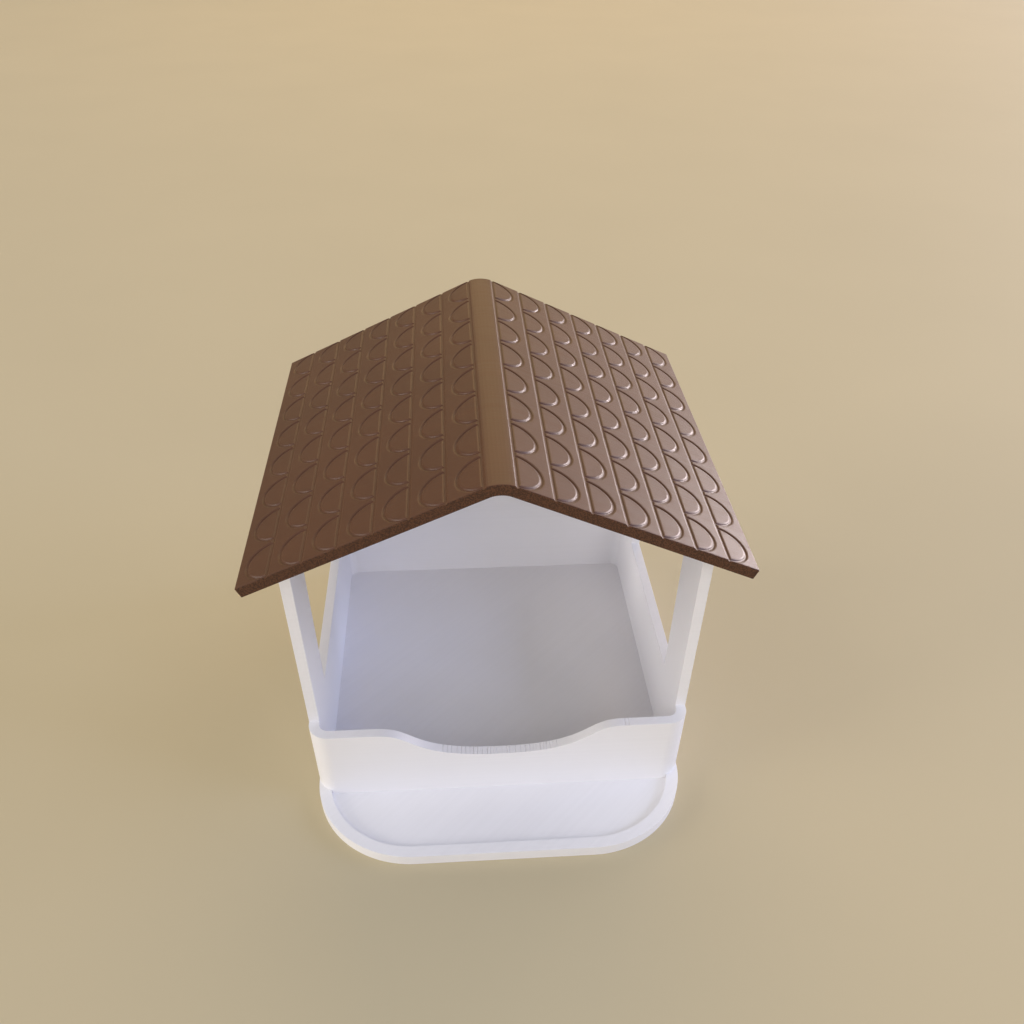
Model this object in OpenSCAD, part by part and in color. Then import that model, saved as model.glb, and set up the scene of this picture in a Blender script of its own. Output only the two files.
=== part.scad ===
// Bird feeder house with a lift-off scale-pattern roof.
// Two printed pieces: a white house with its perch tray, and a brown bent roof plate.
// Millimetres, +Z up. The origin is the centre of the square house plan, on the table.
// The perch tray points along -Y and the ridge runs along Y.

/* [House] */
// Width of the house over its side walls
house_w = 150; // [140:1:200]
// Depth of the house, front wall face to back wall face
house_d = 150; // [140:1:200]
// Thickness of every wall
wall_t = 4; // [3:0.5:6]
// Thickness of the floor
floor_t = 3; // [2:0.5:6]
// Outer radius of the four upright corners
corner_r = 8; // [7:0.5:14]
// Height of the side walls where they meet the underside of the roof
eave_h = 118; // [108:1:150]
// Height of the low front wall and of the window sills
rim_h = 37.5; // [34:0.5:50]
// Distance of the two front posts behind the face of the front wall
post_setback = 9.3; // [8:0.1:14]
// Smallest clearance kept around a wall top that drops into the roof
seat_gap = 0.2; // [0.1:0.05:0.4]

/* [Windows] */
// Length of each side window along the wall
window_l = 85; // [40:1:100]
// Height of each side window above its sill
window_h = 62.5; // [30:0.5:68]

/* [Scalloped front rim] */
// Half of the width of the dip in the front rim
dip_half_w = 49; // [40:0.5:55]
// Depth of the dip below the rim
dip_depth = 13.6; // [5:0.1:24]
// Length of the flat run at the bottom of the dip curve
dip_low_handle = 38.2; // [20:0.1:39]
// Length of the flat run at the top of the dip curve
dip_top_handle = 16.6; // [8:0.1:30]
// Straight steps that follow each half of the dip curve
dip_steps = 24; // [8:1:48]

/* [Perch tray] */
// Reach of the tray in front of the front wall
tray_reach = 33.7; // [25:0.1:60]
// Radius of the two round front corners of the tray
tray_r = 40; // [30:0.5:60]
// Width of the raised lip around the tray
tray_lip_w = 4.8; // [3:0.1:8]
// Height of the raised lip above the table
tray_lip_h = 5; // [4:0.1:12]
// Thickness of the tray under its recess
tray_t = 3; // [2:0.1:3.5]

/* [Roof plate] */
// Length of the roof along the ridge
roof_l = 160; // [158:1:230]
// Length of each slope from the sharp line of the ridge to the eave
slope_l = 93.65; // [92:0.05:120]
// Thickness of the roof plate
roof_t = 4; // [3.5:0.1:6]
// Angle of each slope to the horizontal
pitch = 23.75; // [20:0.25:30]
// Radius of the underside along the ridge
ridge_r = 8; // [5:0.5:12]
// Depth of the channels that the wall tops drop into
seat_depth = 1.5; // [1:0.1:1.8]

/* [Scale pattern] */
// Rows of scales on each slope
scale_rows = 7; // [1:1:7]
// Scales in each row
scale_count = 8; // [2:1:8]
// Distance of the first row line from the sharp line of the ridge
first_row = 5.7; // [5.5:0.1:6]
// Distance between two row lines
row_pitch = 12.68; // [10.2:0.02:12.7]
// Distance between two neighbouring scales along a row
scale_pitch = 20.2; // [19.5:0.1:20.2]
// Outer radius of one half-round scale groove
scale_r = 9.3; // [6:0.1:9.4]
// Width of every V-shaped groove at the surface
groove_w = 1.3; // [0.6:0.1:2]
// Depth of every V-shaped groove
groove_d = 0.45; // [0.2:0.05:0.8]

/* [Colours] */
// Colour of the house print
house_colour = "#E9E9F2";
// Colour of the roof print
roof_colour = "#7A4A38";

/* [Hidden] */
$fn = 96;
// Overrun of a cut past the face that it opens
cut_over = 1;
// Height that is above every surface of the feeder
above_all = 400;
half_w = house_w / 2;
half_d = house_d / 2;
// Sharp line of the ridge on the underside and on the top of the roof plate
under_apex_z = eave_h + half_w * tan(pitch);
top_apex_z = under_apex_z + roof_t / cos(pitch);
// Centre line that the inner and outer ridge arcs share
ridge_axis_z = under_apex_z - ridge_r / cos(pitch);
// Centre line of the two round corners of the tray
tray_corner_x = half_w - tray_r;
tray_corner_y = -half_d - tray_reach + tray_r;
// Room between two neighbouring scales is shared out at both ends of a row
scale_start = -scale_pitch * (scale_count - 1) / 2;

// One coordinate of a cubic curve through four control values
function curve(a, b, c, d, t) =
    a * pow(1 - t, 3) + 3 * b * pow(1 - t, 2) * t + 3 * c * (1 - t) * pow(t, 2) + d * pow(t, 3);

// A point of the right half of the dip in the front rim
function dip_point(t) = [
    curve(0, dip_low_handle, dip_half_w - dip_top_handle, dip_half_w, t),
    curve(rim_h - dip_depth, rim_h - dip_depth, rim_h, rim_h, t)
];

// Plan of the house, drawn inwards by the given amount
module plan(inset) {
    r = corner_r - inset;
    square([house_w - 2 * corner_r, house_d - 2 * inset], center = true);
    square([house_w - 2 * inset, house_d - 2 * corner_r], center = true);
    for (x = [-1, 1], y = [-1, 1])
        translate([x * (half_w - corner_r), y * (half_d - corner_r)])
            circle(r = r);
}

// Section of all that lies below a surface parallel to the underside of the roof
module below_roof(rise) {
    r = ridge_r + rise;
    side_z = eave_h + rise / cos(pitch) - half_w * tan(pitch);
    polygon([
        [-house_w, 0],
        [house_w, 0],
        [house_w, side_z],
        [r * sin(pitch), ridge_axis_z + r * cos(pitch)],
        [-r * sin(pitch), ridge_axis_z + r * cos(pitch)],
        [-house_w, side_z]
    ]);
    translate([0, ridge_axis_z])
        circle(r = r);
}

// Turns a section drawn in X and Z into a bar along Y, centred on the origin
module along_y(length) {
    translate([0, length / 2, 0])
        rotate([90, 0, 0])
            linear_extrude(height = length)
                children();
}

// Plan of the tray, drawn inwards by the given amount and reaching back under the house
module tray_plan(inset) {
    r = tray_r - inset;
    translate([-tray_corner_x, tray_corner_y - r])
        square([2 * tray_corner_x, r]);
    translate([-tray_corner_x - r, tray_corner_y])
        square([2 * (tray_corner_x + r), -tray_corner_y]);
    for (x = [-1, 1])
        translate([x * tray_corner_x, tray_corner_y])
            circle(r = r);
}

// The dip cut out of the front rim
module dip() {
    right = [for (i = [0 : dip_steps]) dip_point(i / dip_steps)];
    left = [for (i = [dip_steps : -1 : 1]) [-right[i][0], right[i][1]]];
    translate([0, -half_d + wall_t / 2, 0])
        along_y(wall_t + 2 * cut_over)
            polygon(concat(left, right, [[dip_half_w, rim_h + cut_over], [-dip_half_w, rim_h + cut_over]]));
}

// Walls and floor under the roof, with the front opening and the side windows
module shell() {
    difference() {
        intersection() {
            linear_extrude(height = above_all)
                plan(0);
            along_y(house_d)
                below_roof(seat_depth);
        }
        translate([0, 0, floor_t])
            linear_extrude(height = above_all)
                plan(wall_t);
        translate([-house_w, -half_d - cut_over, rim_h])
            cube([2 * house_w, post_setback + cut_over, above_all]);
        translate([-house_w, -window_l / 2, rim_h])
            cube([2 * house_w, window_l, window_h]);
        dip();
    }
}

// The tray with its raised lip, in front of the house
module tray() {
    difference() {
        linear_extrude(height = tray_lip_h)
            difference() {
                tray_plan(0);
                plan(wall_t);
            }
        translate([0, 0, tray_t])
            linear_extrude(height = above_all)
                difference() {
                    tray_plan(tray_lip_w);
                    plan(0);
                }
    }
}

module house() {
    color(house_colour) {
        union() {
            shell();
            tray();
        }
    }
}

// Section of a groove, a V that is open past the surface and centred on its line
module groove_section() {
    half_top = groove_w / 2 * (groove_d + cut_over) / groove_d;
    polygon([[0, -groove_d], [half_top, cut_over], [-half_top, cut_over]]);
}

// Grooves of one slope: X runs down from the sharp line of the ridge, Z out of the surface
module scale_pattern() {
    for (row = [0 : scale_rows - 1]) {
        line_u = first_row + row * row_pitch;
        translate([line_u, 0, 0])
            along_y(roof_l + 2 * cut_over)
                groove_section();
        for (i = [0 : scale_count - 1])
            translate([line_u, scale_start + i * scale_pitch, 0])
                rotate([0, 0, -90])
                    rotate_extrude(angle = 180)
                        translate([scale_r - groove_w / 2, 0])
                            groove_section();
    }
}

// Plan of the channels in the underside: the wall plan grown by the clearance
module seat_plan() {
    difference() {
        plan(-seat_gap);
        plan(wall_t + seat_gap);
        translate([-house_w, -house_d - half_d + post_setback - seat_gap])
            square([2 * house_w, house_d]);
    }
}

// Bent plate before the grooves and channels are cut
module roof_plate() {
    difference() {
        along_y(roof_l)
            difference() {
                below_roof(roof_t);
                below_roof(0);
            }
        for (side = [0, 1])
            mirror([side, 0, 0])
                translate([0, 0, top_apex_z])
                    rotate([0, pitch, 0])
                        translate([slope_l, -roof_l, -above_all / 2])
                            cube([above_all, 2 * roof_l, above_all]);
    }
}

module roof() {
    color(roof_colour) {
        difference() {
            roof_plate();
            intersection() {
                linear_extrude(height = above_all)
                    seat_plan();
                along_y(roof_l)
                    below_roof(seat_depth);
            }
            for (side = [0, 1])
                mirror([side, 0, 0])
                    translate([0, 0, top_apex_z])
                        rotate([0, pitch, 0])
                            scale_pattern();
        }
    }
}

house();
roof();
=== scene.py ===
"""Bird feeder house with a lift-off fish-scale roof: the visual model around the CAD frame."""

import math
import random
from collections import namedtuple

import bmesh
import bpy
from bpy.props import (
    FloatProperty,
    FloatVectorProperty,
    IntProperty,
    PointerProperty,
    StringProperty,
)
from mathutils import Matrix, Vector


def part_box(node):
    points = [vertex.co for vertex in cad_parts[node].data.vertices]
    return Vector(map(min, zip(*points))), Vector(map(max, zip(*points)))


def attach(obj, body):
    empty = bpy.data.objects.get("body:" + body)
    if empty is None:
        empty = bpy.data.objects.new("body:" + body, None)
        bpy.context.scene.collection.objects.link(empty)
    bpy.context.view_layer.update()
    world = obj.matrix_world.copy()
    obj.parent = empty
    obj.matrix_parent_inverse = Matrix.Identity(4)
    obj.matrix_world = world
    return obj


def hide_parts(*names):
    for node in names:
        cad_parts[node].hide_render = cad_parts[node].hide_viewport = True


bl_info = {
    "name": "Bird Feeder House",
    "version": (1, 0, 0),
    "blender": (4, 5, 0),
    "location": "3D Viewport > Sidebar > Feeder",
    "description": "Builds a printed bird feeder house, its fish-scale roof and a studio stage",
    "category": "Object",
}

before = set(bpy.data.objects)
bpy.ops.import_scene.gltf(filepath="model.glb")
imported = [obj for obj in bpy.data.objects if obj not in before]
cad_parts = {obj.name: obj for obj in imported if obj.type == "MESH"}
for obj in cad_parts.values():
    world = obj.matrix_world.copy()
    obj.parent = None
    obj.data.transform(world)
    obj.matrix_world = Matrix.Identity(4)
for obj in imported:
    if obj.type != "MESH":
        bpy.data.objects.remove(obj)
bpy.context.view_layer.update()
HOUSE_LOW, HOUSE_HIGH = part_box("house")
ROOF_LOW, ROOF_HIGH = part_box("roof")


def mm(value):
    """Millimetres as metres."""
    return value * 0.001


# Overrun of a cutting form past the face that it opens
OVER = mm(2)
# Longer than any side of the feeder
FAR = mm(400)
# A height between the lip of the tray and the window sills
ABOVE_TRAY = mm(20)
# A height between the window sills and the roof
BELOW_ROOF = mm(50)

# Two measures in metres that differ by less than this are the same
CLOSE = 1e-6
# Corners that lie closer than this are merged after a cut
MERGE = mm(0.002)
# Faces that meet at less than this angle are joined into one
FLAT = math.radians(0.5)
# Faces that meet at more than this angle make an edge that the nozzle rounds
SHARP = math.radians(35)

# Straight steps around each rounded corner, edge and scale, and around the bend of the sweep
OUTER_CORNER_STEPS = 12
INNER_CORNER_STEPS = 8
TRAY_CORNER_STEPS = 30
GABLE_STEPS = 16
HOUSE_EDGE_STEPS = 3
ROOF_EDGE_STEPS = 2
SCALE_STEPS = 28
SWEEP_STEPS = 24

# Strand marks on the dip: their reach to each side of its middle, the places of two more past its
# right end, the range of their spacing and of their width in millimetres, and the seed of both
STRAND_REACH = mm(23)
STRANDS_PAST_END = (mm(0.4), mm(1.9))
STRAND_SPACING = (1.1, 2.3)
STRAND_WIDTH = (0.3, 0.6)
STRAND_SEED = 11
# Points along one half of the dip at which the height of a mark is looked up
DIP_SAMPLES = 200

# Half of a groove's section in shares of its half width and depth: a round bottom, a steep wall
# and a broad rim that the strands round over
GROOVE_HALF = ((0, 1), (0.4, 0.97), (0.6, 0.8), (0.76, 0.46), (0.95, 0.26), (1.35, 0.06), (1.6, 0))
# The scale grooves start this far past the bottom of their line, so that no edges coincide
OFF_LINE = mm(0.07)


# Sizes and colours that a user may change


def length(name, description, default_mm):
    """A property that holds a length in metres, with its default in millimetres."""
    return FloatProperty(
        name=name,
        description=description,
        default=mm(default_mm),
        min=0.0,
        unit="LENGTH",
        subtype="DISTANCE",
        precision=5,
    )


def whole(name, description, default, least=1):
    """A property that holds a whole number."""
    return IntProperty(name=name, description=description, default=default, min=least)


def plain(name, description, default):
    """A property that holds a number without a unit."""
    return FloatProperty(name=name, description=description, default=default)


def hex_colour(name, description, default):
    """A property that holds a colour as an sRGB hex value."""
    return StringProperty(name=name, description=description, default=default)


class FeederHouseSizes(bpy.types.PropertyGroup):
    """Sizes of the white house and its perch tray."""

    wall: length("Wall", "Thickness of every wall", 4)
    floor: length("Floor", "Thickness of the floor", 3)
    corner: length("Corner radius", "Outer radius of the upright corners", 8)
    eave: length("Eave height", "Height of the side walls at the underside of the roof", 118)
    rim: length("Rim height", "Height of the front wall and of the window sills", 37.5)
    setback: length("Post setback", "Distance of the posts behind the face of the front wall", 9.3)
    window_length: length("Window length", "Length of each side window", 85)
    window_height: length("Window height", "Height of each side window", 62.5)
    dip_half: length("Dip half width", "Half of the width of the dip in the front rim", 49)
    dip_depth: length("Dip depth", "Depth of the dip in the front rim", 13.6)
    dip_low: length("Dip low run", "Flat run at the bottom of the dip curve", 38.2)
    dip_top: length("Dip top run", "Flat run at the top of the dip curve", 16.6)
    dip_steps: whole("Dip steps", "Steps along each half of the dip", 40, 8)
    tray_radius: length("Tray corner radius", "Radius of the round front corners of the tray", 40)
    lip_width: length("Lip width", "Width of the raised lip of the tray", 4.8)
    lip_height: length("Lip height", "Height of the raised lip above the underside", 5)
    recess_floor: length("Recess floor", "Height of the tray floor inside its lip", 3)
    edge: length("Edge rounding", "Rounding that the nozzle leaves along outer edges", 0.5)


class FeederRoofSizes(bpy.types.PropertyGroup):
    """Sizes of the brown roof plate and its fish-scale pattern."""

    thickness: length("Thickness", "Thickness of the roof plate", 4)
    slope: length("Slope length", "Length of a slope from the sharp ridge line to the eave", 93.65)
    pitch: FloatProperty(
        name="Pitch",
        description="Angle of each slope to the horizontal",
        default=math.radians(23.75),
        subtype="ANGLE",
    )
    ridge_inner: length("Inner ridge radius", "Radius of the underside along the ridge", 8)
    ridge_facets: whole("Ridge facets", "Flat strips along the ridge", 8, 2)
    seat_depth: length("Seat depth", "Depth of the channels that the wall tops drop into", 1.5)
    seat_gap: length("Seat clearance", "Clearance around a wall top in its channel", 0.2)
    rows: whole("Rows", "Rows of scales on each slope", 7)
    count: whole("Scales per row", "Scales in each row", 8)
    first_row: length("First row", "Distance of the first row line from the ridge line", 5.7)
    row_pitch: length("Row pitch", "Distance between two row lines", 12.68)
    scale_pitch: length("Scale pitch", "Distance between two scales along a row", 20.2)
    scale_radius: length("Scale radius", "Outer radius of a half-round scale groove", 9.3)
    groove_width: length("Groove width", "Width of a groove at the surface", 1.3)
    groove_depth: length("Groove depth", "Depth of a groove", 0.45)
    edge: length("Edge rounding", "Rounding along the outer edges of the plate", 0.3)


class FeederFinish(bpy.types.PropertyGroup):
    """Colours of the two prints and the height of their layers."""

    house: hex_colour("House", "White filament of the house", "#F2F1F4")
    roof: hex_colour("Roof", "Brown filament of the roof", "#573521")
    end: hex_colour("Roof end", "Brown of the roof end that stood on the print plate", "#5B3925")
    layer: length("Layer height", "Height of one printed layer", 0.2)


class FeederStage(bpy.types.PropertyGroup):
    """Camera, floor and even light."""

    floor: hex_colour("Floor", "Colour of the floor and backdrop", "#C6B999")
    world: plain("World", "Strength of the even light from all around", 0.54)
    camera: FloatVectorProperty(
        name="Camera",
        description="Place of the camera",
        default=(mm(-12.70), mm(-304.04), mm(300.92)),
        subtype="TRANSLATION",
    )
    aim: FloatVectorProperty(
        name="Camera angles",
        description="Turn of the camera about X, Y and Z",
        default=(math.radians(47.2085), math.radians(-0.3924), math.radians(-3.7150)),
        subtype="EULER",
    )
    lens: FloatProperty(
        name="Lens", description="Focal length in millimetres", default=31.24, min=1.0
    )
    shift_x: plain("Shift X", "Sideways shift of the frame", 0.0013)
    shift_y: plain("Shift Y", "Upward shift of the frame", 0.1203)


# Mesh tools


def everything(bm):
    """All vertices, edges and faces of a bmesh."""
    return bm.verts[:] + bm.edges[:] + bm.faces[:]


def only(kind, parts):
    """The parts of one kind, such as the vertices, in a mixed list of mesh parts."""
    return [part for part in parts if isinstance(part, kind)]


def box(low, high):
    """A closed box between two corners."""
    bm = bmesh.new()
    low, high = Vector(low), Vector(high)
    place = Matrix.Translation((low + high) / 2) @ Matrix.Diagonal((*(high - low), 1))
    bmesh.ops.create_cube(bm, size=1, matrix=place)
    return bm


def bar(outline, travel):
    """A closed bar: a flat outline carried along by the given travel."""
    bm = bmesh.new()
    face = bm.faces.new([bm.verts.new(point) for point in outline])
    grown = bmesh.ops.extrude_face_region(bm, geom=[face])["geom"]
    bmesh.ops.translate(bm, verts=only(bmesh.types.BMVert, grown), vec=travel)
    bmesh.ops.recalc_face_normals(bm, faces=bm.faces)
    return bm


def repeat(bm, geom, offset, total):
    """Copies the geometry on by the offset until it is there total times, and returns it all."""
    whole = list(geom)
    last = geom
    for _ in range(total - 1):
        last = bmesh.ops.duplicate(bm, geom=last)["geom"]
        bmesh.ops.translate(bm, verts=only(bmesh.types.BMVert, last), vec=offset)
        whole += last
    return whole


def round_edges(bm, edges, offset, segments):
    """Bevels the edges into a circular rounding of the given offset."""
    bmesh.ops.bevel(
        bm,
        geom=list(edges),
        offset=offset,
        offset_type="OFFSET",
        segments=segments,
        profile=0.5,
        affect="EDGES",
        clamp_overlap=True,
        material=-1,
    )


def upright(edge):
    """True for an edge that runs along Z."""
    run = edge.verts[0].co - edge.verts[1].co
    return abs(run.x) < CLOSE and abs(run.y) < CLOSE


def middle(edge):
    """The middle of an edge."""
    return (edge.verts[0].co + edge.verts[1].co) / 2


def edges_at_apex(bm, apex):
    """The edges whose middle lies above the line X = 0 at the height of an apex."""
    return [
        edge
        for edge in bm.edges
        if abs(middle(edge).x) < CLOSE and abs(middle(edge).z - apex) < CLOSE
    ]


def rounded_box(low, high, radius, segments, chosen=upright):
    """A box whose chosen edges are rounded."""
    bm = box(low, high)
    round_edges(bm, [edge for edge in bm.edges if chosen(edge)], radius, segments)
    return bm


def outward(bm):
    """Turns a closed form whose faces agree with each other outwards."""
    bmesh.ops.recalc_face_normals(bm, faces=bm.faces)
    if bm.calc_volume(signed=True) < 0:
        bmesh.ops.reverse_faces(bm, faces=bm.faces)
    return bm


def finished(bm, name):
    """A new object in the scene from the given bmesh."""
    mesh = bpy.data.meshes.new(name)
    bm.to_mesh(mesh)
    bm.free()
    obj = bpy.data.objects.new(name, mesh)
    bpy.context.scene.collection.objects.link(obj)
    return obj


def combine(target, other, operation):
    """Cuts, joins or intersects another form with the target, which keeps the result."""
    if not isinstance(other, bpy.types.Object):
        other = finished(other, "cutter")
    modifier = target.modifiers.new(operation, "BOOLEAN")
    modifier.operation = operation
    modifier.solver = "EXACT"
    modifier.object = other
    bpy.context.view_layer.update()
    result = bpy.data.meshes.new_from_object(
        target.evaluated_get(bpy.context.evaluated_depsgraph_get())
    )
    target.modifiers.clear()
    target.data = result
    bpy.data.objects.remove(other)
    if not result.polygons:
        raise RuntimeError(f"{target.name}: {operation} left nothing")
    return target


def tidy(bm):
    """Merges doubles, joins faces that lie in one plane and turns every face outward."""
    bmesh.ops.remove_doubles(bm, verts=bm.verts, dist=MERGE)
    bmesh.ops.dissolve_limit(bm, angle_limit=FLAT, verts=bm.verts, edges=bm.edges)
    bmesh.ops.recalc_face_normals(bm, faces=bm.faces)


def drop_slivers(bm):
    """Takes out the faces without area that a cut can leave, with the loose edges left by them."""
    bmesh.ops.dissolve_degenerate(bm, edges=bm.edges, dist=MERGE)
    loose = [edge for edge in bm.edges if not edge.link_faces]
    bmesh.ops.delete(bm, geom=loose, context="EDGES")


def soften(obj, offset, segments):
    """Rounds every sharp outer edge of a finished form."""
    bm = bmesh.new()
    bm.from_mesh(obj.data)
    tidy(bm)
    drop_slivers(bm)
    sharp = [
        edge
        for edge in bm.edges
        if len(edge.link_faces) == 2 and edge.calc_face_angle_signed() > SHARP
    ]
    round_edges(bm, sharp, offset, segments)
    tidy(bm)
    bm.to_mesh(obj.data)
    bm.free()


def close_up(obj):
    """Takes the slivers out of a finished print and makes sure that it is one closed surface."""
    bm = bmesh.new()
    bm.from_mesh(obj.data)
    drop_slivers(bm)
    bmesh.ops.recalc_face_normals(bm, faces=bm.faces)
    gaps = sum(1 for edge in bm.edges if not edge.is_manifold)
    bm.to_mesh(obj.data)
    bm.free()
    if gaps:
        raise RuntimeError(f"{obj.name}: {gaps} edges don't join two faces")


# Forms of the house


def slope_line(roof, house, rise):
    """Height at X = 0 of the sharp ridge of a surface that lies this far above the underside."""
    return house.eave + HOUSE_HIGH.x * math.tan(roof.pitch) + rise / math.cos(roof.pitch)


def bounded_by_roof(bm, house, roof, rise):
    """Cuts off all that lies above a surface parallel to the underside of the roof."""
    apex = slope_line(roof, house, rise)
    for side in (-1, 1):
        cut = bmesh.ops.bisect_plane(
            bm,
            geom=everything(bm),
            plane_co=(0, 0, apex),
            plane_no=(side * math.sin(roof.pitch), 0, math.cos(roof.pitch)),
            clear_outer=True,
        )["geom_cut"]
        bmesh.ops.holes_fill(bm, edges=only(bmesh.types.BMEdge, cut))
    bmesh.ops.recalc_face_normals(bm, faces=bm.faces)
    radius = roof.ridge_inner + rise
    round_edges(bm, edges_at_apex(bm, apex), radius * math.tan(roof.pitch), GABLE_STEPS)


def outer_body(house, roof):
    """The outside of the house as one block, with its gables cut to the seats in the roof."""
    low = (HOUSE_LOW.x, -HOUSE_HIGH.y, 0)
    high = (HOUSE_HIGH.x, HOUSE_HIGH.y, FAR)
    bm = rounded_box(low, high, house.corner, OUTER_CORNER_STEPS)
    bounded_by_roof(bm, house, roof, roof.seat_depth)
    return bm


def dip_point(house, t):
    """A point of the right half of the dip, from its middle at 0 to its end at 1."""
    low = house.rim - house.dip_depth
    across = (0, house.dip_low, house.dip_half - house.dip_top, house.dip_half)
    up = (low, low, house.rim, house.rim)
    weights = ((1 - t) ** 3, 3 * (1 - t) ** 2 * t, 3 * (1 - t) * t**2, t**3)
    return [sum(w * value for w, value in zip(weights, values)) for values in (across, up)]


def dip_cutter(house):
    """The bar that cuts the dip through the front wall."""
    right = [dip_point(house, step / house.dip_steps) for step in range(house.dip_steps + 1)]
    left = [(-x, z) for x, z in reversed(right[1:])]
    top = [(house.dip_half, house.rim + OVER), (-house.dip_half, house.rim + OVER)]
    start = -HOUSE_HIGH.y - OVER
    return bar([(x, start, z) for x, z in left + right + top], (0, house.wall + 2 * OVER, 0))


def tray_form(house, inset, floor, top):
    """The tray's plan, drawn inwards, between two heights and back to under the front wall."""
    front = HOUSE_LOW.y + inset
    side = HOUSE_HIGH.x - inset
    return rounded_box(
        (-side, front, floor),
        (side, -HOUSE_HIGH.y + house.corner, top),
        house.tray_radius - inset,
        TRAY_CORNER_STEPS,
        lambda edge: upright(edge) and abs(middle(edge).y - front) < CLOSE,
    )


def strand_marks(house):
    """Shallow notches across the flat of the dip, where short strands cross the wall."""
    bm = bmesh.new()
    chance = random.Random(STRAND_SEED)
    places = []
    x = -STRAND_REACH
    while x < STRAND_REACH:
        places.append(x)
        x += mm(chance.uniform(*STRAND_SPACING))
    places += [house.dip_half + past for past in STRANDS_PAST_END]
    curve = [dip_point(house, step / DIP_SAMPLES) for step in range(DIP_SAMPLES + 1)]
    for x in places:
        width = mm(chance.uniform(*STRAND_WIDTH))
        height = house.rim
        for (x0, z0), (x1, z1) in zip(curve, curve[1:]):
            if x0 <= abs(x) <= x1:
                height = z0 + (z1 - z0) * (abs(x) - x0) / (x1 - x0)
        # A square bar on its edge cuts a notch as wide as the bar's diagonal
        side = width / math.sqrt(2)
        place = Matrix.Translation((x, -HOUSE_HIGH.y + house.wall / 2, height))
        turn = Matrix.Rotation(math.radians(45), 4, "Y")
        size = Matrix.Diagonal((side, house.wall + 2 * OVER, side, 1))
        bmesh.ops.create_cube(bm, size=1, matrix=place @ turn @ size)
    return bm


# Forms of the roof


def roof_blank(house, roof):
    """The bent plate before its grooves and channels are cut."""
    run, drop = roof.slope * math.cos(roof.pitch), roof.slope * math.sin(roof.pitch)
    top = slope_line(roof, house, roof.thickness)
    under = slope_line(roof, house, 0)
    inward = roof.thickness * math.sin(roof.pitch)
    down = roof.thickness * math.cos(roof.pitch)
    outline = [(0, top), (run, top - drop), (run - inward, top - drop - down), (0, under)]
    outline += [(-x, z) for x, z in outline[2:0:-1]]
    bm = bar([(x, ROOF_LOW.y, z) for x, z in outline], (0, ROOF_HIGH.y - ROOF_LOW.y, 0))
    for apex, radius in ((top, roof.ridge_inner + roof.thickness), (under, roof.ridge_inner)):
        ridge = [
            edge
            for edge in edges_at_apex(bm, apex)
            if abs(edge.verts[0].co.y - edge.verts[1].co.y) > OVER
        ]
        round_edges(bm, ridge, radius * math.tan(roof.pitch), roof.ridge_facets)
    return bm


def groove_outline(roof):
    """The closed section of a groove cutter, standing a little out of the surface."""
    half_width, depth = roof.groove_width / 2, roof.groove_depth
    half = [(half_width * across, -depth * down) for across, down in GROOVE_HALF]
    half.append((half[-1][0], OVER / 2))
    return [(-x, z) for x, z in reversed(half[1:])] + half


def line_grooves(roof):
    """The straight grooves of one slope in its own plane, with X down the slope and Z out of it."""
    start = ROOF_LOW.y - OVER
    outline = [(roof.first_row + x, start, z) for x, z in groove_outline(roof)]
    bm = outward(bar(outline, (0, ROOF_HIGH.y - start + OVER, 0)))
    repeat(bm, everything(bm), (roof.row_pitch, 0, 0), roof.rows)
    return bm


def scale_grooves(roof):
    """The half-round grooves of one slope in its own plane."""
    bm = bmesh.new()
    centre = Vector((roof.first_row + OFF_LINE, -roof.scale_pitch * (roof.count - 1) / 2, 0))
    radius = roof.scale_radius - roof.groove_width / 2
    outline = [centre + Vector((0, -radius - x, z)) for x, z in groove_outline(roof)]
    face = bm.faces.new([bm.verts.new(point) for point in outline])
    start = bmesh.ops.duplicate(bm, geom=[face])["geom"]
    bmesh.ops.spin(
        bm,
        geom=start,
        cent=centre,
        axis=(0, 0, 1),
        angle=math.pi,
        steps=SCALE_STEPS,
        use_duplicate=False,
    )
    bmesh.ops.remove_doubles(bm, verts=bm.verts, dist=MERGE / 2)
    outward(bm)
    row = repeat(bm, everything(bm), (0, roof.scale_pitch, 0), roof.count)
    repeat(bm, row, (roof.row_pitch, 0, 0), roof.rows)
    return bm


def pattern_cutter(house, roof):
    """All grooves of both slopes as one form."""
    pattern = finished(line_grooves(roof), "pattern")
    combine(pattern, scale_grooves(roof), "UNION")
    bm = bmesh.new()
    bm.from_mesh(pattern.data)
    place = Matrix.Translation((0, 0, slope_line(roof, house, roof.thickness)))
    bmesh.ops.transform(bm, matrix=place @ Matrix.Rotation(roof.pitch, 4, "Y"), verts=bm.verts)
    left = bmesh.ops.duplicate(bm, geom=everything(bm))["geom"]
    bmesh.ops.scale(bm, vec=(-1, 1, 1), verts=only(bmesh.types.BMVert, left))
    bmesh.ops.reverse_faces(bm, faces=only(bmesh.types.BMFace, left))
    bm.to_mesh(pattern.data)
    bm.free()
    return pattern


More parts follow.
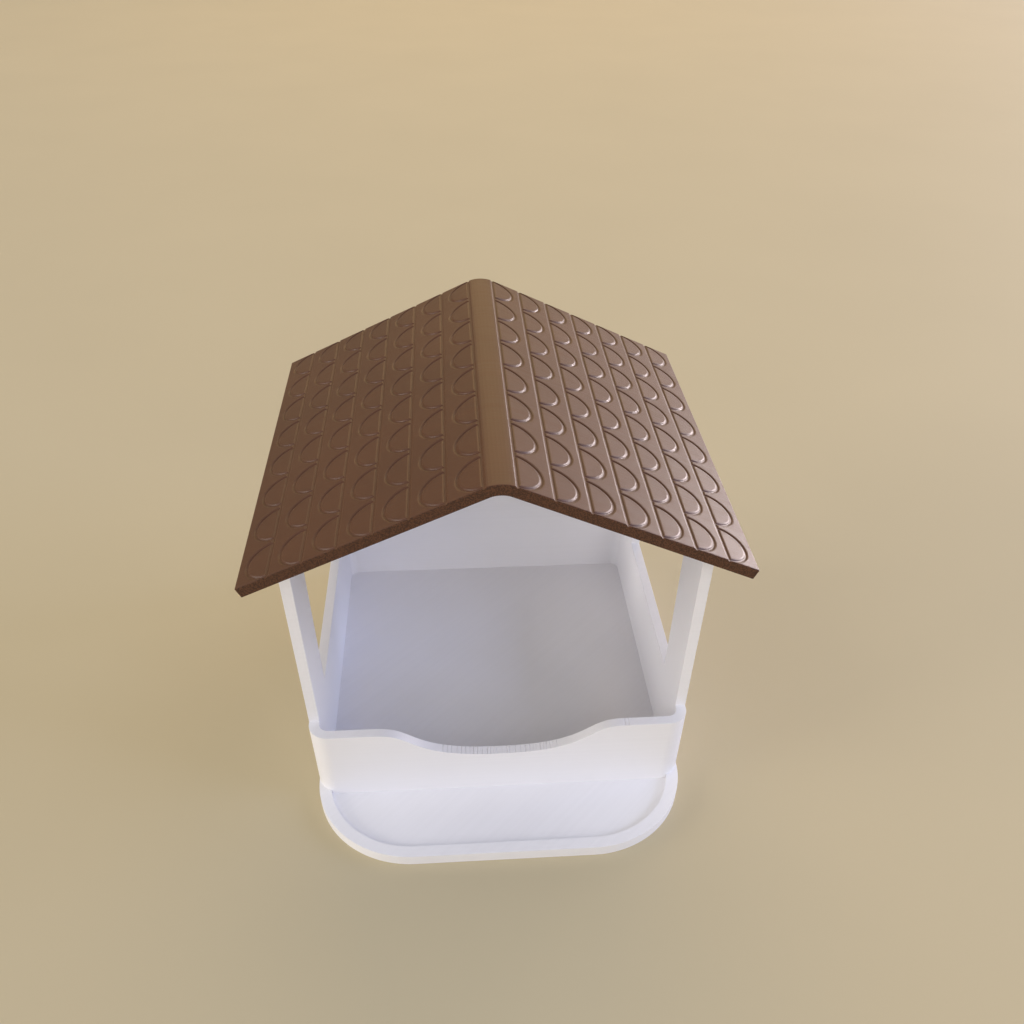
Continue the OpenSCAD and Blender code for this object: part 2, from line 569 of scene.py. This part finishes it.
def seat_form(house, roof):
    """The walls grown by the clearance, which cut their channels into the roof's underside."""
    gap = roof.seat_gap
    out_x, out_y = HOUSE_HIGH.x + gap, HOUSE_HIGH.y + gap
    low, high = (-out_x, -out_y, BELOW_ROOF), (out_x, out_y, FAR)
    outside = rounded_box(low, high, house.corner + gap, OUTER_CORNER_STEPS)
    walls = finished(outside, "walls")
    in_x, in_y = HOUSE_HIGH.x - house.wall - gap, HOUSE_HIGH.y - house.wall - gap
    low, high = (-in_x, -in_y, 0), (in_x, in_y, 2 * FAR)
    inside = rounded_box(low, high, house.corner - house.wall - gap, INNER_CORNER_STEPS)
    combine(walls, inside, "DIFFERENCE")
    front = box((-FAR, -FAR, 0), (FAR, -HOUSE_HIGH.y + house.setback - gap, 2 * FAR))
    combine(walls, front, "DIFFERENCE")
    limit = box((-2 * FAR, -2 * FAR, ABOVE_TRAY), (2 * FAR, 2 * FAR, FAR))
    bounded_by_roof(limit, house, roof, roof.seat_depth)
    combine(walls, limit, "INTERSECT")
    return walls


# Materials


def linear(code):
    """An sRGB hex value as the linear colour that a shader takes."""
    parts = [int(code[i : i + 2], 16) / 255 for i in (1, 3, 5)]
    return [p / 12.92 if p <= 0.04045 else ((p + 0.055) / 1.055) ** 2.4 for p in parts] + [1.0]


def shade(code, factor):
    """A linear colour made lighter or darker."""
    return [part * factor for part in linear(code)[:3]] + [1.0]


def add_node(tree, kind, place, settings=None, links=None):
    """Adds a node. A lower-case setting is a property, any other key is an input."""
    node = tree.nodes.new(kind)
    node.location = place
    for key, value in (settings or {}).items():
        if isinstance(key, str) and key[0].islower():
            setattr(node, key, value)
        else:
            node.inputs[key].default_value = value
    for key, source in (links or {}).items():
        tree.links.new(source, node.inputs[key])
    return node


def new_material(name):
    """An empty node material and its tree."""
    material = bpy.data.materials.new(name)
    material.use_nodes = True
    material.node_tree.nodes.clear()
    return material, material.node_tree


# Bands of a wave texture repeat every 0.31416 / scale
WAVE = math.pi / 10
# Refraction of PLA
PLA_IOR = 1.46
# Clouds of shade per metre, each about 36 mm wide, from uneven cooling
CLOUDS = 28.0
# Repeats per metre of the noise along a layer, and its repeats per strand across the layers
ALONG_LAYER = 9.0
ACROSS_LAYERS = 0.6
# How far the roughness of a layer strays from the mean
GLOSS_SPREAD = 0.05
# Noise keeps near its middle, so the shades and the gloss spread over this part of its values
LAYER_RANGE = (0.38, 0.62)
GLOSS_RANGE = (0.3, 0.7)
PEBBLE_RANGE = (0.43, 0.57)
# Clouds of shade per metre on the studio paint
STUDIO_CLOUDS = 6.0
# Single layers are too fine to show, so two of them are drawn as one strand
LAYERS_DRAWN = 2
# Strands of the top skin are 0.45 mm wide, too fine to show, so two of them are drawn as one
SKIN_SPACING = mm(0.9)
# A face looks straight up or to the front where its normal reaches this share along the axis
STRAIGHT_UP = 0.95
STRAIGHT_FRONT = 0.9


def printed_plastic(name, light, dark, roughness, axis, spacing, relief, turn=(0, 0, 0)):
    """Extruded PLA: level strands laid side by side, each with its own faint shade and gloss.

    light and dark are the two shades that it wanders between, axis the one that the layers are
    stacked along, spacing the distance between two drawn strands, relief their height, and turn
    the angles that the pattern is turned by.
    """
    material, tree = new_material(name)
    place = add_node(tree, "ShaderNodeTexCoord", (-1400, 0))
    turned = add_node(
        tree,
        "ShaderNodeMapping",
        (-1200, 0),
        {"Rotation": turn},
        {"Vector": place.outputs["Object"]},
    )
    vector = turned.outputs["Vector"]
    cloud = add_node(
        tree,
        "ShaderNodeTexNoise",
        (-1000, 300),
        {"Scale": CLOUDS, "Detail": 3.0},
        {"Vector": vector},
    )
    # Each layer differs a little from the next, so the noise is squeezed along the stacking axis
    squeeze = [ALONG_LAYER] * 3
    squeeze["XYZ".index(axis)] = ACROSS_LAYERS / spacing
    squeezed = add_node(
        tree, "ShaderNodeMapping", (-1000, 0), {"Scale": squeeze}, {"Vector": vector}
    )
    layers = add_node(
        tree,
        "ShaderNodeTexNoise",
        (-800, 0),
        {"Scale": 1.0, "Detail": 2.0},
        {"Vector": squeezed.outputs["Vector"]},
    )
    strands = add_node(
        tree,
        "ShaderNodeTexWave",
        (-800, -300),
        {
            "wave_type": "BANDS",
            "bands_direction": axis,
            "wave_profile": "SIN",
            "Scale": WAVE / spacing,
            "Distortion": 0.0,
        },
        {"Vector": vector},
    )
    # The mean of the clouds and the layers gives the shade
    half_cloud = add_node(
        tree,
        "ShaderNodeMath",
        (-800, 300),
        {"operation": "MULTIPLY", 1: 0.5},
        {0: cloud.outputs["Fac"]},
    )
    mean = add_node(
        tree,
        "ShaderNodeMath",
        (-600, 200),
        {"operation": "MULTIPLY_ADD", 1: 0.5},
        {0: layers.outputs["Fac"], 2: half_cloud.outputs[0]},
    )
    colour = add_node(tree, "ShaderNodeValToRGB", (-400, 200), None, {"Fac": mean.outputs[0]})
    stops = colour.color_ramp.elements
    stops[0].position, stops[0].color = LAYER_RANGE[0], dark
    stops[1].position, stops[1].color = LAYER_RANGE[1], light
    gloss = add_node(
        tree,
        "ShaderNodeMapRange",
        (-400, -50),
        {
            "From Min": GLOSS_RANGE[0],
            "From Max": GLOSS_RANGE[1],
            "To Min": roughness - GLOSS_SPREAD,
            "To Max": roughness + GLOSS_SPREAD,
        },
        {"Value": layers.outputs["Fac"]},
    )
    height = add_node(
        tree,
        "ShaderNodeMath",
        (-600, -300),
        {"operation": "ADD"},
        {0: strands.outputs["Fac"], 1: layers.outputs["Fac"]},
    )
    bump = add_node(
        tree,
        "ShaderNodeBump",
        (-400, -300),
        {"Strength": 1.0, "Distance": relief},
        {"Height": height.outputs[0]},
    )
    shader = add_node(
        tree,
        "ShaderNodeBsdfPrincipled",
        (-100, 0),
        {"IOR": PLA_IOR},
        {
            "Base Color": colour.outputs["Color"],
            "Roughness": gloss.outputs["Result"],
            "Normal": bump.outputs["Normal"],
        },
    )
    add_node(tree, "ShaderNodeOutputMaterial", (200, 0), None, {"Surface": shader.outputs["BSDF"]})
    return material


def plate_face_plastic(name, light, dark, roughness, grain, relief):
    """PLA that set on a textured steel plate: a fine pebble grain that speckles it, with painted
    shade that darkens the whole end, which faces away from the light.
    """
    material, tree = new_material(name)
    place = add_node(tree, "ShaderNodeTexCoord", (-1000, 0))
    pebbles = add_node(
        tree,
        "ShaderNodeTexNoise",
        (-800, 0),
        {"Scale": 1 / grain, "Detail": 1.0, "Roughness": 0.6},
        {"Vector": place.outputs["Object"]},
    )
    colour = add_node(
        tree,
        "ShaderNodeValToRGB",
        (-500, 100),
        None,
        {"Fac": pebbles.outputs["Fac"]},
    )
    stops = colour.color_ramp.elements
    stops[0].position, stops[0].color = PEBBLE_RANGE[0], dark
    stops[1].position, stops[1].color = PEBBLE_RANGE[1], light
    bump = add_node(
        tree,
        "ShaderNodeBump",
        (-500, -200),
        {"Strength": 1.0, "Distance": relief},
        {"Height": pebbles.outputs["Fac"]},
    )
    shader = add_node(
        tree,
        "ShaderNodeBsdfPrincipled",
        (-200, 0),
        {"IOR": PLA_IOR, "Roughness": roughness},
        {"Base Color": colour.outputs["Color"], "Normal": bump.outputs["Normal"]},
    )
    add_node(tree, "ShaderNodeOutputMaterial", (100, 0), None, {"Surface": shader.outputs["BSDF"]})
    return material


def plain_surface(name, code, roughness):
    """A painted studio surface with hardly any mottling."""
    material, tree = new_material(name)
    place = add_node(tree, "ShaderNodeTexCoord", (-800, 0))
    cloud = add_node(
        tree,
        "ShaderNodeTexNoise",
        (-600, 0),
        {"Scale": STUDIO_CLOUDS},
        {"Vector": place.outputs["Object"]},
    )
    colour = add_node(tree, "ShaderNodeValToRGB", (-400, 0), None, {"Fac": cloud.outputs["Fac"]})
    stops = colour.color_ramp.elements
    stops[0].color = shade(code, 0.97)
    stops[1].color = shade(code, 1.03)
    shader = add_node(
        tree,
        "ShaderNodeBsdfPrincipled",
        (-100, 0),
        {"Roughness": roughness},
        {"Base Color": colour.outputs["Color"]},
    )
    add_node(tree, "ShaderNodeOutputMaterial", (200, 0), None, {"Surface": shader.outputs["BSDF"]})
    return material


def paint(obj, materials, choose):
    """Gives an object its materials and each face the one that choose picks."""
    for material in materials:
        obj.data.materials.append(material)
    for face in obj.data.polygons:
        face.material_index = choose(face)


# Operators


def choices(context):
    """The sizes of the house and of the roof, and the finish."""
    scene = context.scene
    return scene.feeder_house, scene.feeder_roof, scene.feeder_finish


class FEEDER_OT_house(bpy.types.Operator):
    """Builds the white house with its walls, windows, scalloped rim and perch tray."""

    bl_idname = "feeder.house"
    bl_label = "House"

    def execute(self, context):
        house, roof, finish = choices(context)
        body = finished(outer_body(house, roof), "house_print")
        combine(body, tray_form(house, 0, 0, house.lip_height), "UNION")
        self.cut_room(body, house)
        self.cut_recess(body, house, roof)
        self.cut_openings(body, house)
        soften(body, house.edge, HOUSE_EDGE_STEPS)
        combine(body, strand_marks(house), "DIFFERENCE")
        close_up(body)
        self.add_materials(body, finish)
        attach(body, "house")
        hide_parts("house")
        return {"FINISHED"}

    def cut_room(self, body, house):
        """Hollows the block out from above, down to the floor."""
        side, back = HOUSE_HIGH.x - house.wall, HOUSE_HIGH.y - house.wall
        low, high = (-side, -back, house.floor), (side, back, FAR)
        room = rounded_box(low, high, house.corner - house.wall, INNER_CORNER_STEPS)
        combine(body, room, "DIFFERENCE")

    def cut_recess(self, body, house, roof):
        """Sinks the floor of the tray inside its lip, as far back as the front wall."""
        plan = tray_form(house, house.lip_width, house.recess_floor, ABOVE_TRAY)
        recess = finished(plan, "recess")
        combine(recess, outer_body(house, roof), "DIFFERENCE")
        combine(body, recess, "DIFFERENCE")

    def cut_openings(self, body, house):
        """Opens the front above its low wall, the two side windows and the dip."""
        front = -HOUSE_HIGH.y
        opening = box((-FAR, front - OVER, house.rim), (FAR, front + house.setback, FAR))
        combine(body, opening, "DIFFERENCE")
        half = house.window_length / 2
        windows = box((-FAR, -half, house.rim), (FAR, half, house.rim + house.window_height))
        combine(body, windows, "DIFFERENCE")
        combine(body, dip_cutter(house), "DIFFERENCE")

    def add_materials(self, body, finish):
        """Stacked layers on the walls, and strands side by side on the faces that look up."""
        walls = printed_plastic(
            "extruded_white_pla_layers",
            light=shade(finish.house, 1.01),
            dark=shade(finish.house, 0.99),
            roughness=0.45,
            axis="Z",
            spacing=LAYERS_DRAWN * finish.layer,
            relief=mm(0.003),
        )
        skin = printed_plastic(
            "extruded_white_pla_top_skin",
            light=shade(finish.house, 1.01),
            dark=shade(finish.house, 0.985),
            roughness=0.45,
            axis="X",
            spacing=SKIN_SPACING,
            relief=mm(0.003),
            turn=(0, 0, math.radians(45)),
        )
        paint(body, [walls, skin], lambda face: int(face.normal.z > STRAIGHT_UP))


class FEEDER_OT_roof(bpy.types.Operator):
    """Builds the brown roof plate with its engraved fish-scale pattern."""

    bl_idname = "feeder.roof"
    bl_label = "Roof"

    def execute(self, context):
        house, roof, finish = choices(context)
        plate = finished(roof_blank(house, roof), "roof_print")
        combine(plate, seat_form(house, roof), "DIFFERENCE")
        soften(plate, roof.edge, ROOF_EDGE_STEPS)
        combine(plate, pattern_cutter(house, roof), "DIFFERENCE")
        close_up(plate)
        self.add_materials(plate, finish)
        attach(plate, "roof")
        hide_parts("roof")
        return {"FINISHED"}

    def add_materials(self, plate, finish):
        """Layers square to the ridge, and the print plate's grain on the front end, darkened there
        by painted shade.
        """
        layers = printed_plastic(
            "extruded_brown_pla_layers",
            light=shade(finish.roof, 1.08),
            dark=shade(finish.roof, 0.92),
            roughness=0.38,
            axis="Y",
            spacing=LAYERS_DRAWN * finish.layer,
            relief=mm(0.012),
        )
        end = plate_face_plastic(
            "plate_textured_brown_pla",
            light=shade(finish.end, 1.05),
            # The dark shade makes the grain's speckle and also darkens the end as a whole: painted
            # shade of the end, which faces away from the light.
            dark=shade(finish.end, 0.45),
            roughness=0.6,
            grain=mm(0.45),
            relief=mm(0.05),
        )
        paint(plate, [layers, end], lambda face: int(face.normal.y < -STRAIGHT_FRONT))


# The studio sweep in metres: half of its width, the places of its front and back ends, the height
# of its backdrop and the rounding between floor and backdrop
SWEEP_SIDE = 30.0
SWEEP_FRONT = -20.0
SWEEP_BACK = 10.0
SWEEP_HEIGHT = 6.0
SWEEP_BEND = 1.5
# The middle of the house, which every lamp faces
LAMP_TARGET = Vector((0, 0, 0.06))
# Width of the camera's sensor in millimetres
SENSOR = 36.0

# A soft lamp: its name, place, width and height, power in watts and colour, whether it lights matt
# surfaces, and whether it glints on the plastic
Lamp = namedtuple("Lamp", "name place size power colour lights glints", defaults=(True, True))
# Daylight comes from the right and behind. The gleam lies low and only makes glints along the
# roof's grooves. The lamp in front is soft fill light, which leaves no glints in them.
LAMPS = (
    Lamp("window_right", (8.8, -0.7, 3.6), (5.6, 3.6), 370.0, "#BCCCFF"),
    Lamp("window_behind", (5.94, 4.65, 1.08), (4.8, 1.35), 150.0, "#FFF7F7"),
    Lamp("window_gleam", (7.6, 5.0, 0.45), (5.0, 0.7), 620.0, "#FFEFF2", lights=False),
    Lamp("low_behind", (4.1, 6.1, 1.95), (3.0, 3.0), 46.0, "#FFE4DC"),
    Lamp("high_behind", (0.18, 2.3, 1.8), (2.1, 2.1), 17.5, "#FFD48C"),
    Lamp("room_front", (0.3, -2.4, 1.4), (1.6, 1.6), 15.0, "#FFF9FB", glints=False),
    Lamp("room_left", (-9.2, -1.44, 1.98), (5.6, 3.2), 440.0, "#FFF8F0"),
)


class FEEDER_OT_stage(bpy.types.Operator):
    """Sets up the pale floor, its backdrop, the soft lamps and the camera."""

    bl_idname = "feeder.stage"
    bl_label = "Stage"

    def execute(self, context):
        scene, stage = context.scene, context.scene.feeder_stage
        self.add_floor(stage)
        for lamp in LAMPS:
            self.add_lamp(scene, lamp)
        self.add_world(scene, stage)
        self.add_camera(scene, stage)
        scene.view_settings.view_transform = "Standard"
        return {"FINISHED"}

    def add_floor(self, stage):
        """A floor that curves up into a backdrop behind the feeder."""
        bm = bmesh.new()
        corners = (
            (-SWEEP_SIDE, SWEEP_FRONT, 0),
            (SWEEP_SIDE, SWEEP_FRONT, 0),
            (SWEEP_SIDE, SWEEP_BACK, 0),
            (-SWEEP_SIDE, SWEEP_BACK, 0),
        )
        floor = bm.faces.new([bm.verts.new(point) for point in corners])
        rear = [edge for edge in floor.edges if abs(middle(edge).y - SWEEP_BACK) < CLOSE]
        grown = bmesh.ops.extrude_edge_only(bm, edges=rear)["geom"]
        raised = only(bmesh.types.BMVert, grown)
        bmesh.ops.translate(bm, verts=raised, vec=(0, 0, SWEEP_HEIGHT))
        round_edges(bm, rear, SWEEP_BEND, SWEEP_STEPS)
        for face in bm.faces:
            face.smooth = True
        bmesh.ops.recalc_face_normals(bm, faces=bm.faces)
        sweep = finished(bm, "studio_sweep")
        sweep.data.materials.append(plain_surface("matt_studio_paint", stage.floor, 0.7))

    def add_lamp(self, scene, lamp):
        """One soft lamp, turned towards the house."""
        data = bpy.data.lights.new(lamp.name, "AREA")
        data.shape = "RECTANGLE"
        data.size, data.size_y = lamp.size
        data.energy = lamp.power
        data.color = linear(lamp.colour)[:3]
        obj = bpy.data.objects.new(lamp.name, data)
        obj.location = lamp.place
        aim = LAMP_TARGET - Vector(lamp.place)
        obj.rotation_euler = aim.to_track_quat("-Z", "Y").to_euler()
        obj.visible_diffuse = lamp.lights
        obj.visible_glossy = lamp.glints
        scene.collection.objects.link(obj)

    def add_world(self, scene, stage):
        """Even white light from all around, which the camera sees in the backdrop's colour."""
        world = bpy.data.worlds.new("soft_room")
        world.use_nodes = True
        tree = world.node_tree
        tree.nodes.clear()
        rays = add_node(tree, "ShaderNodeLightPath", (-400, 300))
        light = add_node(
            tree,
            "ShaderNodeBackground",
            (-400, 0),
            {"Color": linear("#FFFFFF"), "Strength": stage.world},
        )
        seen = add_node(tree, "ShaderNodeBackground", (-400, -200), {"Color": linear(stage.floor)})
        both = add_node(
            tree,
            "ShaderNodeMixShader",
            (-100, 0),
            None,
            {"Fac": rays.outputs["Is Camera Ray"], 1: light.outputs[0], 2: seen.outputs[0]},
        )
        add_node(tree, "ShaderNodeOutputWorld", (100, 0), None, {"Surface": both.outputs[0]})
        scene.world = world

    def add_camera(self, scene, stage):
        """The camera at the photograph's place, turn, focal length and shift."""
        data = bpy.data.cameras.new("camera")
        data.sensor_width = SENSOR
        data.lens = stage.lens
        data.shift_x = stage.shift_x
        data.shift_y = stage.shift_y
        data.clip_start = mm(10)
        camera = bpy.data.objects.new("camera", data)
        camera.location = stage.camera
        camera.rotation_euler = stage.aim
        scene.collection.objects.link(camera)
        scene.camera = camera


GROUPS = {
    "feeder_house": FeederHouseSizes,
    "feeder_roof": FeederRoofSizes,
    "feeder_finish": FeederFinish,
    "feeder_stage": FeederStage,
}
OPERATORS = (FEEDER_OT_house, FEEDER_OT_roof, FEEDER_OT_stage)


class FEEDER_PT_panel(bpy.types.Panel):
    """Lists the pieces of the feeder and its stage."""

    bl_idname = "FEEDER_PT_panel"
    bl_label = "Bird Feeder House"
    bl_space_type = "VIEW_3D"
    bl_region_type = "UI"
    bl_category = "Feeder"

    def draw(self, context):
        for operator in OPERATORS:
            self.layout.operator(operator.bl_idname)
        for group in GROUPS:
            settings = getattr(context.scene, group)
            column = self.layout.column(align=True)
            for name in settings.bl_rna.properties.keys():
                if name not in ("rna_type", "name"):
                    column.prop(settings, name)


CLASSES = (*GROUPS.values(), *OPERATORS, FEEDER_PT_panel)


def register():
    """Adds the classes and the settings of the scene."""
    for item in CLASSES:
        bpy.utils.register_class(item)
    for name, group in GROUPS.items():
        setattr(bpy.types.Scene, name, PointerProperty(type=group))


def unregister():
    """Takes the settings of the scene and the classes away again."""
    for name in GROUPS:
        delattr(bpy.types.Scene, name)
    for item in reversed(CLASSES):
        bpy.utils.unregister_class(item)


def main():
    """Builds the feeder on its stage."""
    register()
    bpy.ops.feeder.house()
    bpy.ops.feeder.roof()
    bpy.ops.feeder.stage()


if __name__ == "__main__":
    main()
